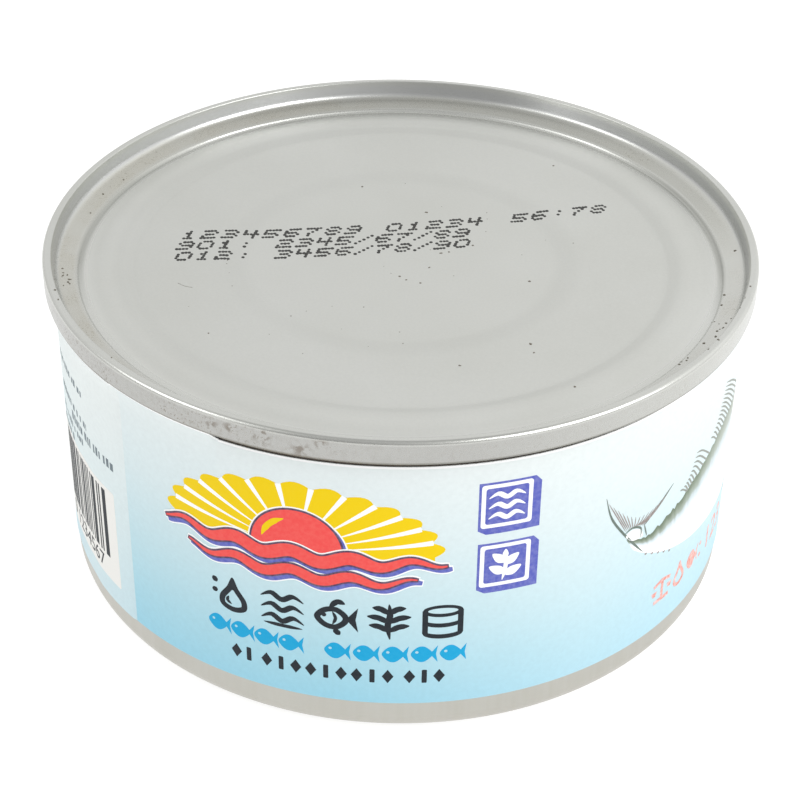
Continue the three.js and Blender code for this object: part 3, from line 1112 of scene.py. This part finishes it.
def makeFish(parts):
    back = smoothLine(fishBack, 8)
    belly = smoothLine(fishBelly, 8)
    bpy.ops.mesh.primitive_grid_add(x_subdivisions=parts["columns"], y_subdivisions=parts["rows"], size=1,
                                    location=(0.5, 0.5, 0))
    body = bpy.context.active_object
    body.name = "printedFish"
    body.data.name = "printedFish"
    bpy.ops.object.transform_apply(location=True, rotation=True, scale=True)
    teeth = [chance.uniform(-parts["teeth"], parts["teeth"]) for i in range(parts["columns"] + 1)]
    tail = fishBack[0][0]
    tailBelow = fishBelly[0][0]
    head = fishBack[-1][0]
    for vertex in body.data.vertices:
        share = vertex.co.x
        high = heightOn(back, tail + share * (head - tail))
        low = heightOn(belly, tailBelow + share * (head - tailBelow))
        ragged = smoothStep(0.02, 0.06, share) * (1 - smoothStep(0.3, 0.5, share))
        high += teeth[round(share * parts["columns"])] * ragged
        along = tail + (tailBelow - tail) * (1 - vertex.co.y) * (1 - share) + share * (head - tail)
        vertex.co = (*flatPlace(along, low + (high - low) * vertex.co.y), ink["thickness"])
    applyModifier(body, "SOLIDIFY", thickness=ink["thickness"] + ink["sunk"], offset=-1)
    wrapOnCan(body)
    pick(body)
    bpy.ops.object.shade_smooth_by_angle(angle=math.radians(turning["smoothBelow"]))
    finishPiece(body, fishSkin(), "label_paper")
    # finlets along the back, in two groups, then the back fin
    fins = []
    for group in parts["finlets"]:
        for i in range(group["count"]):
            share = i / (group["count"] - 1)
            along = group["feet"][0] + (group["feet"][1] - group["feet"][0]) * share ** group["spread"]
            foot = (along, heightOn(back, along) - 0.15)
            (x0, y0), (x1, y1) = group["tips"]
            tip = (x0 + (x1 - x0) * share ** 0.6, y0 + (y1 - y0) * share ** group["rise"])
            middle = (tip[0] * 0.6 + foot[0] * 0.4, tip[1] * 0.6 + foot[1] * 0.4 + 0.22 + 0.2 * share)
            fins.append(inkShape([brushStroke([foot, middle, tip], 0.24, thinStart=False)], 1))
    for i in range(9):
        along = 62 + i * 0.95
        foot = heightOn(back, along) - 0.2
        fins.append(inkShape([brushStroke([(along, foot), (along - 0.9, foot + 2.6 - 0.2 * i),
                                           (along - 2.4, foot + 3.9 - 0.3 * i)], 0.42)], 1))
    # tail: two lobes edged with a dark line
    edges = [inkShape([brushStroke(points, width)], 1) for points, width in parts["tailEdges"]]
    printPiece("fishTailEdges", edges, offsetInk("inkTailEdge", "#66736b", worn="#9aa59f", fade=0.3))
    fins += [inkShape([brushStroke(points, width)], 1) for points, width in parts["headLines"]]
    for x, y in parts["bellyFins"]:
        fin = [(x + 2, y + 0.3), (x + 0.2, y - 1.2), (x - 1.6, y - 2.6)]
        fins.append(inkShape([brushStroke(fin, 0.9)], 1))
    fins.append(inkShape([oval(parts["eye"], 0.85, 0.85, 24)], 1))
    printPiece("fishFins", fins, offsetInk("inkFin", "#8d918a", worn="#c4c7c0", fade=0.3))
    rays = []
    for i in range(parts["rays"]):
        share = i / (parts["rays"] - 1)
        foot = (28.3 + 2.9 * share, -19.5 - 0.5 * share + 0.3 * math.sin(math.pi * share))
        tip = (25.3 + 10.4 * share, -14.2 - 2.9 * share - 2.7 * math.sin(math.pi * share))
        middle = ((foot[0] + tip[0]) / 2 + 0.15 * (1 - share), (foot[1] + tip[1]) / 2 - 0.25)
        rays.append(inkShape([brushStroke([foot, middle, tip], 0.14)], 1))
    for i in range(5):
        rays.append(inkShape([oval((32.2 + 1.2 * i, -24.75 - 0.56 * i), 0.2, 0.15, 10)], 1))
    printPiece("fishRays", rays, offsetInk("inkRay", "#938985", worn="#c8bfbc", fade=0.3))
    tailRoot = smoothLine([(28.4, -20.3), (29.5, -19.8), (30.8, -20.4), (31.3, -21.5), (30.2, -21.6),
                           (29.3, -21.3)], 5, closed=True)
    pupil = oval((parts["eye"][0] + 0.1, parts["eye"][1] + 0.1), 0.3, 0.3, 14)
    printPiece("fishLights", [inkShape([tailRoot], 1), inkShape([pupil], 2)], inkWhite)


makeFish(fishParts)

# a pale red line: three small marks, a colon and plain counting digits
redLine = {"level": -32.4, "marks": (36.3, 40.1, 43.6), "colon": 46.0, "digits": 47.4}


def makeRedLine(parts):
    level = parts["level"]
    scale, drop, fish = [(along, level) for along in parts["marks"]]
    dropOutline = smoothLine([(0, 1.9), (0.6, 0.7), (1.25, -0.5), (1.0, -1.5), (0, -1.9), (-1.0, -1.5),
                              (-1.25, -0.5), (-0.6, 0.7)], 6, closed=True)
    fishOutline = [(-1.5, 0.05), (-0.8, 1.1), (0.1, 1.2), (0.8, 0.3), (1.5, 1.3), (1.3, 0), (1.5, -1.3),
                   (0.8, -0.3), (0.1, -1.2), (-0.8, -1.1)]
    shapes = [
        inkShape([brushStroke(moved([(-1.7, 0.9), (0, 1.3), (1.7, 0.9)], scale), 0.5, False, False)]),
        inkShape([brushStroke(moved([(0, 1.6), (0, -1.4)], scale), 0.5, False, False)]),
        inkShape([brushStroke(moved([(-1.5, -1.6), (1.5, -1.6)], scale), 0.55, False, False)]),
        inkShape([moved([(-2.1, 0.1), (-1.0, 0.1), (-1.3, -0.6), (-1.8, -0.6)], scale)]),
        inkShape([moved([(2.1, 0.1), (1.0, 0.1), (1.3, -0.6), (1.8, -0.6)], scale)]),
        inkShape(ring(moved(dropOutline, drop), 0.5)),
        inkShape([smoothLine(moved(fishOutline, fish, 1.05), 5, closed=True)]),
        inkShape([oval((parts["colon"], level + 0.7), 0.3, 0.3, 12)]),
        inkShape([oval((parts["colon"], level - 1.1), 0.3, 0.3, 12)]),
        inkText("123", parts["digits"], level - 1.8, 5.0),
    ]
    printPiece("redLine", shapes, inkPaleRed)


makeRedLine(redLine)

# left of the lap: lines of small grey bars, and a white panel of upright stripes over plain digits
sidePrint = {
    # level, first and last place along the wall, and height of the bars
    "lines": ((-10.5, -56.0, -45.4, 1.0), (-14.7, -55.5, -44.6, 1.0), (-16.4, -50.5, -37.9, 1.3),
              (-18.2, -56.5, -46.0, 1.0), (-20.0, -56.5, -50.5, 1.0)),
    "barWidths": (0.3, 0.75),
    "barGaps": (0.3, 0.36, 0.8),
    "panel": (-57.0, -38.3, -35.2, -20.6),
    "bars": (-55.5, -40.5, -31.6, -21.3),
    "digits": (-55.2, -34.3),
}


def barRow(first, last, below, tall, widths=(0.5, 1.3), gaps=(0.25, 0.3, 0.3, 0.8)):
    shapes = []
    along = first
    while along < last:
        wide = min(chance.uniform(*widths), last - along)
        rise = chance.uniform(0.75, 1.0) * tall
        shapes.append(inkShape([block(along, along + wide, below - tall / 2, below - tall / 2 + rise)]))
        along += wide + chance.choice(gaps)
    return shapes


def makeSidePrint(parts):
    shapes = []
    for below, first, last, tall in parts["lines"]:
        shapes += barRow(first, last, below, tall, parts["barWidths"], parts["barGaps"])
    printPiece("sidePrint", shapes, inkGrey)
    left, right, low, high = parts["panel"]
    printPiece("stripePanel", [inkShape([block(left, right, low, high, 0.3)])],
               offsetInk("inkPanel", "#ecebe7", worn="#dcdedc"))
    bars = []
    left, right, low, high = parts["bars"]
    along = left
    while along < right - 0.3:
        wide = chance.choice((0.3, 0.3, 0.6, 0.9, 0.9))
        bars.append(inkShape([block(along, along + wide, low, high)], 1))
        along += wide + chance.choice((0.3, 0.3, 0.3, 0.6))
    bars.append(inkText("0 1234567", *parts["digits"], 3.1, 1, wide=0.98))
    printPiece("stripes", bars, inkBlack)


makeSidePrint(sidePrint)

# round the back: a ruled table of bars, and two blocks of bar lines
backPrint = {
    "table": (-94.0, -64.0, -35.0, -9.0),
    "columns": (16, 23),           # the table's inner rules, from its left edge
    "rowStep": 2.6,
    "blocks": ((-128.0, -100.0), (98.0, 130.0)),
    "blockLines": 9,
    "blockTop": -10.5,
}


def makeBackPrint(parts):
    left, right, low, high = parts["table"]
    rules = []
    middleRule, lastRule = [left + column for column in parts["columns"]]
    for x in (left, right, middleRule, lastRule):
        rules.append(inkShape([block(x - 0.12, x + 0.12, low, high)]))
    y = high
    shapes = []
    while y >= low - 0.01:
        rules.append(inkShape([block(left, right, y - 0.1, y + 0.1)]))
        if y - parts["rowStep"] >= low - 0.01:
            middle = y - parts["rowStep"] / 2
            shapes += barRow(left + 1, left + chance.uniform(8, 14), middle, 1.1)
            shapes += barRow(middleRule + 1.2, middleRule + 5.6, middle, 1.1)
            shapes += barRow(lastRule + 1.2, lastRule + 5.2, middle, 1.1)
        y -= parts["rowStep"]
    for first, last in parts["blocks"]:
        for i in range(parts["blockLines"]):
            below = parts["blockTop"] - parts["rowStep"] * i
            shapes += barRow(first, last - chance.uniform(0, 6), below, 1.2)
    printPiece("backRules", rules, inkGrey)
    printPiece("backLines", shapes, inkBlack)


makeBackPrint(backPrint)
print("side and back print made")


# on the lid, rows of plain counting digits, one ink dot for each marked point of a 5 by 5 grid
lidDigits = {
    "rows": (
        {"text": "123456789 01234", "start": -27.6, "pitch": 2.57, "lift": 3.5},
        {"text": "901: 2345/67/89", "start": -27.8, "pitch": 2.46, "lift": 0.9},
        {"text": "012: 3456/78/90", "start": -27.8, "pitch": 2.46, "lift": -1.7},
        {"text": "56:78", "start": 14.1, "pitch": 2.55, "lift": 3.5},
    ),
    "dot": 0.225 * mm,
    "across": 0.40,
    "up": 0.415,
    "slant": 0.26,
    "proud": 0.012 * mm,
    "bend": (-27.6, 0.0757, 0.001514),     # the rows climb to the right from here, and bend upwards
}
dotDigits = {
    "0": "01110 10001 10001 10001 01110", "1": "00100 01100 00100 00100 01110",
    "2": "11110 00001 01110 10000 11111", "3": "11110 00001 01110 00001 11110",
    "4": "10010 10010 11111 00010 00010", "5": "11111 10000 11110 00001 11110",
    "6": "01111 10000 11110 10001 01110", "7": "11111 00010 00100 01000 01000",
    "8": "01110 10001 01110 10001 01110", "9": "01110 10001 01111 00001 11110",
    ":": "00000 00100 00000 00100 00000", "/": "00001 00010 00100 01000 10000",
    " ": "00000 00000 00000 00000 00000",
}


def addSpot(vertices, faces, middle, halfWidth, halfDepth, proud, sides=10, rough=0.0, turn=0.0):
    # a flat spot that lies on the lid, closed below its surface
    first = len(vertices)
    swells = [1 + chance.uniform(-rough, rough) for i in range(sides)]
    for lift, size in ((-0.01 * mm, 1.0), (proud * 0.5, 1.0), (proud, 0.82)):
        for i in range(sides):
            angle = 2 * math.pi * i / sides
            x = halfWidth * math.cos(angle) * swells[i] * size
            y = halfDepth * math.sin(angle) * swells[i] * size
            px = middle[0] + x * math.cos(turn) - y * math.sin(turn)
            py = middle[1] + x * math.sin(turn) + y * math.cos(turn)
            vertices.append((px, py, lidHeight(math.hypot(px, py)) + lift))
    for level in (0, sides):
        for i in range(sides):
            j = (i + 1) % sides
            low = first + level
            faces.append((low + i, low + j, low + sides + j, low + sides + i))
    faces.append([first + i for i in range(sides)][::-1])
    faces.append([first + 2 * sides + i for i in range(sides)])


def spotPiece(name, vertices, faces, material):
    mesh = bpy.data.meshes.new(name)
    mesh.from_pydata(vertices, [], faces)
    piece = bpy.data.objects.new(name, mesh)
    bpy.context.collection.objects.link(piece)
    pick(piece)
    bpy.ops.object.shade_smooth_by_angle(angle=math.radians(50))
    finishPiece(piece, material, "lid_metal")
    return piece


def makeLidDigits(code):
    vertices = []
    faces = []
    for row in code["rows"]:
        for place, letter in enumerate(row["text"]):
            for down, line in enumerate(dotDigits[letter].split()):
                for over, mark in enumerate(line):
                    if mark == "0":
                        continue
                    up = (4 - down) * code["up"]
                    x = row["start"] + row["pitch"] * place + over * code["across"] + code["slant"] * up
                    bendStart, slope, bend = code["bend"]
                    run = x - bendStart
                    y = row["lift"] + slope * run + bend * run * run + up
                    x += chance.uniform(-0.03, 0.03)
                    y += chance.uniform(-0.03, 0.03)
                    size = code["dot"] * chance.uniform(0.88, 1.1)
                    addSpot(vertices, faces, (x * mm, y * mm), size, size * 1.15, code["proud"])
    # solvent jet ink: a dull black, dried in flat dots
    jetInk = newMaterial("jetInk", Roughness=0.5, Base_Color=hexColour("#262622"))[0]
    spotPiece("lidDigits", vertices, faces, jetInk)


makeLidDigits(lidDigits)

# specks and nicks on the lid, in millimetres from its middle
specks = {
    "single": ((-0.1, -4.5), (2.4, -6), (0.7, -5.3), (3.5, -2.3), (5, 1.2), (6, 1.5), (9, 3.2),
               (15.7, -5.2), (15.2, -19.5), (15.5, -21.3), (6.9, -24.2), (19.7, -28.7), (-22.2, -18.2),
               (20.2, 24.2), (3.2, 11.4), (-5.2, 18), (32.2, -23.2), (33, -22.5), (-36.4, 17.6)),
    "rim": ((40.4, -13.6), (39.5, -15.9), (38.9, -14.7), (37.2, -20.5), (36.6, -18.5), (36.7, -18.4),
            (36.2, -22.8), (34.8, -24.7), (35.2, -19.5), (33.6, -25.9), (32.8, -23.1), (31.9, -23.8),
            (41.4, -11.1), (41.4, 1.1), (38.9, -8.6), (38.3, -10.9), (38.2, -15.6), (37.0, -17.1),
            (-40.7, -7.1), (-39.9, -7.6), (-39.7, -7.5), (-39.9, -8.3), (-40.3, -9.4), (-39.7, -8.6),
            (-40.4, -14.2), (-34.5, -24.8), (-32.0, -28.3), (-39.7, -16.3), (-39.5, 8.7), (-38.5, 13.5)),
    "patches": (
        {"middle": (37.4, -14.8), "count": 6, "spread": (1.2, 2.4)},
        {"middle": (-40.5, -6.0), "count": 6, "spread": (0.8, 1.8)},
        {"middle": (-10.0, -10.0), "count": 18, "spread": (16, 14)},
        {"middle": (12.0, 8.0), "count": 10, "spread": (14, 12)},
    ),
    "scratch": [(-26.8, -7.2), (-26.0, -7.8), (-25.1, -8.1)],
    "proud": 0.03 * mm,
}


def makeSpecks(parts):
    vertices = []
    faces = []
    for x, y in parts["single"]:
        size = chance.uniform(0.1, 0.16) * mm
        addSpot(vertices, faces, (x * mm, y * mm), size * chance.uniform(1, 1.5), size, parts["proud"], 8,
                0.3, chance.uniform(0, 3.1))
    for x, y in parts["rim"]:
        size = chance.uniform(0.08, 0.17) * mm
        addSpot(vertices, faces, (x * mm, y * mm), size, size * chance.uniform(1, 1.4), parts["proud"], 8,
                0.3)
    for patch in parts["patches"]:
        for i in range(patch["count"]):
            x = chance.gauss(patch["middle"][0], patch["spread"][0] / 2)
            y = chance.gauss(patch["middle"][1], patch["spread"][1] / 2)
            small = 0.035 if patch["spread"][0] > 5 else 0.06
            size = chance.uniform(small, small * 2) * mm
            addSpot(vertices, faces, (x * mm, y * mm), size * chance.uniform(1, 1.6), size, 0.02 * mm, 8,
                    0.3, chance.uniform(0, 3.1))
    for x, y in smoothLine(parts["scratch"], 6):
        addSpot(vertices, faces, (x * mm, y * mm), 0.1 * mm, 0.035 * mm, 0.01 * mm, 8, 0.3, -0.5)
    driedGrime = newMaterial("driedGrime", Roughness=0.7, Base_Color=hexColour("#6b6559"))[0]
    spotPiece("lidSpecks", vertices, faces, driedGrime)


makeSpecks(specks)
print("lid digits and specks made")


# studio: lit white ground, pale walls, darker round the camera and overhead, a softbox on either side
def studioWorld():
    world = bpy.data.worlds.new("studio")
    bpy.context.scene.world = world
    world.use_nodes = True
    tree = world.node_tree
    way = addNode(tree, "TexCoord").outputs["Generated"]
    x, y, z = addNode(tree, "SeparateXYZ", {0: way}).outputs
    upward = addNode(tree, "ValToRGB", {"Fac": z}, stops=[
        (0.0, grey(0.8)), (0.25, grey(0.92)), (0.45, grey(0.95)), (0.6, grey(1.0)), (0.72, grey(1.02)),
        (0.85, grey(0.88)), (0.94, grey(0.7)), (1.0, grey(0.64))]).outputs["Color"]
    towards = addNode(tree, "Math", {0: y, 1: -1.0}, operation="MULTIPLY").outputs[0]
    azimuth = addNode(tree, "Math", {0: x, 1: towards}, operation="ARCTAN2").outputs[0]
    turn = addNode(tree, "MapRange", {"Value": azimuth, "From Min": -math.pi,
                                      "From Max": math.pi}).outputs[0]
    # brightness by azimuth in degrees: dark round the camera, a bright strip on either side of it
    around = [(-180, 1.0), (-150, 1.0), (-120, 0.9), (-90, 0.88), (-68, 0.8), (-59, 0.9), (-53, 1.7),
              (-47, 0.8), (-38, 0.52), (-8, 0.5), (8, 0.64), (20, 0.78), (33, 0.8), (41, 1.15), (50, 0.85),
              (66, 0.8), (90, 1.1), (115, 1.25), (140, 1.1), (160, 1.0), (180, 1.0)]
    sideways = addNode(tree, "ValToRGB", {"Fac": turn}, stops=[
        ((degrees + 180) / 360, grey(bright)) for degrees, bright in around]).outputs["Color"]
    overhead = addNode(tree, "MapRange", {"Value": z, "From Min": 0.78, "From Max": 0.93}).outputs[0]
    sideways = addNode(tree, "Mix", {0: overhead, 6: sideways, 7: grey(0.85)}, data_type="RGBA").outputs[2]
    level = addNode(tree, "Mix", {0: 1.0, 6: upward, 7: sideways}, data_type="RGBA",
                    blend_type="MULTIPLY").outputs[2]
    tree.links.new(level, tree.nodes["Background"].inputs["Color"])
    tree.nodes["Background"].inputs["Strength"].default_value = 1.0


softboxes = [
    {"name": "softboxRight", "azimuth": 58, "elevation": 40, "distance": 0.62, "wide": 0.45, "tall": 0.3,
     "watts": 1.6},
    {"name": "softboxLeft", "azimuth": -78, "elevation": 40, "distance": 0.62, "wide": 0.28, "tall": 0.24,
     "watts": 0.45},
]


def makeSoftbox(box):
    light = bpy.data.lights.new(box["name"], "AREA")
    light.shape = "RECTANGLE"
    light.size = box["wide"]
    light.size_y = box["tall"]
    light.energy = box["watts"]
    lamp = bpy.data.objects.new(box["name"], light)
    bpy.context.collection.objects.link(lamp)
    azimuth = math.radians(box["azimuth"])
    elevation = math.radians(box["elevation"])
    way = Vector((math.cos(elevation) * math.sin(azimuth), -math.cos(elevation) * math.cos(azimuth),
                  math.sin(elevation)))
    lamp.location = way * box["distance"] + Vector((0, 0, canTop / 2))
    lamp.rotation_euler = way.to_track_quat("Z", "Y").to_euler()


def makeGround():
    bpy.ops.mesh.primitive_plane_add(size=3.0, location=(0, 0, 0))
    ground = bpy.context.active_object
    ground.name = "ground"
    # a table of white acrylic lit from below
    acrylic = newMaterial("litAcrylic", Roughness=0.9, Base_Color=hexColour("#a4a4a3"),
                          Specular_IOR_Level=0.1, Emission_Color=grey(1.0), Emission_Strength=0.8)[0]
    ground.data.materials.append(acrylic)


studioWorld()
for softbox in softboxes:
    makeSoftbox(softbox)
makeGround()
bpy.context.scene.view_settings.view_transform = "Standard"
print("studio set")
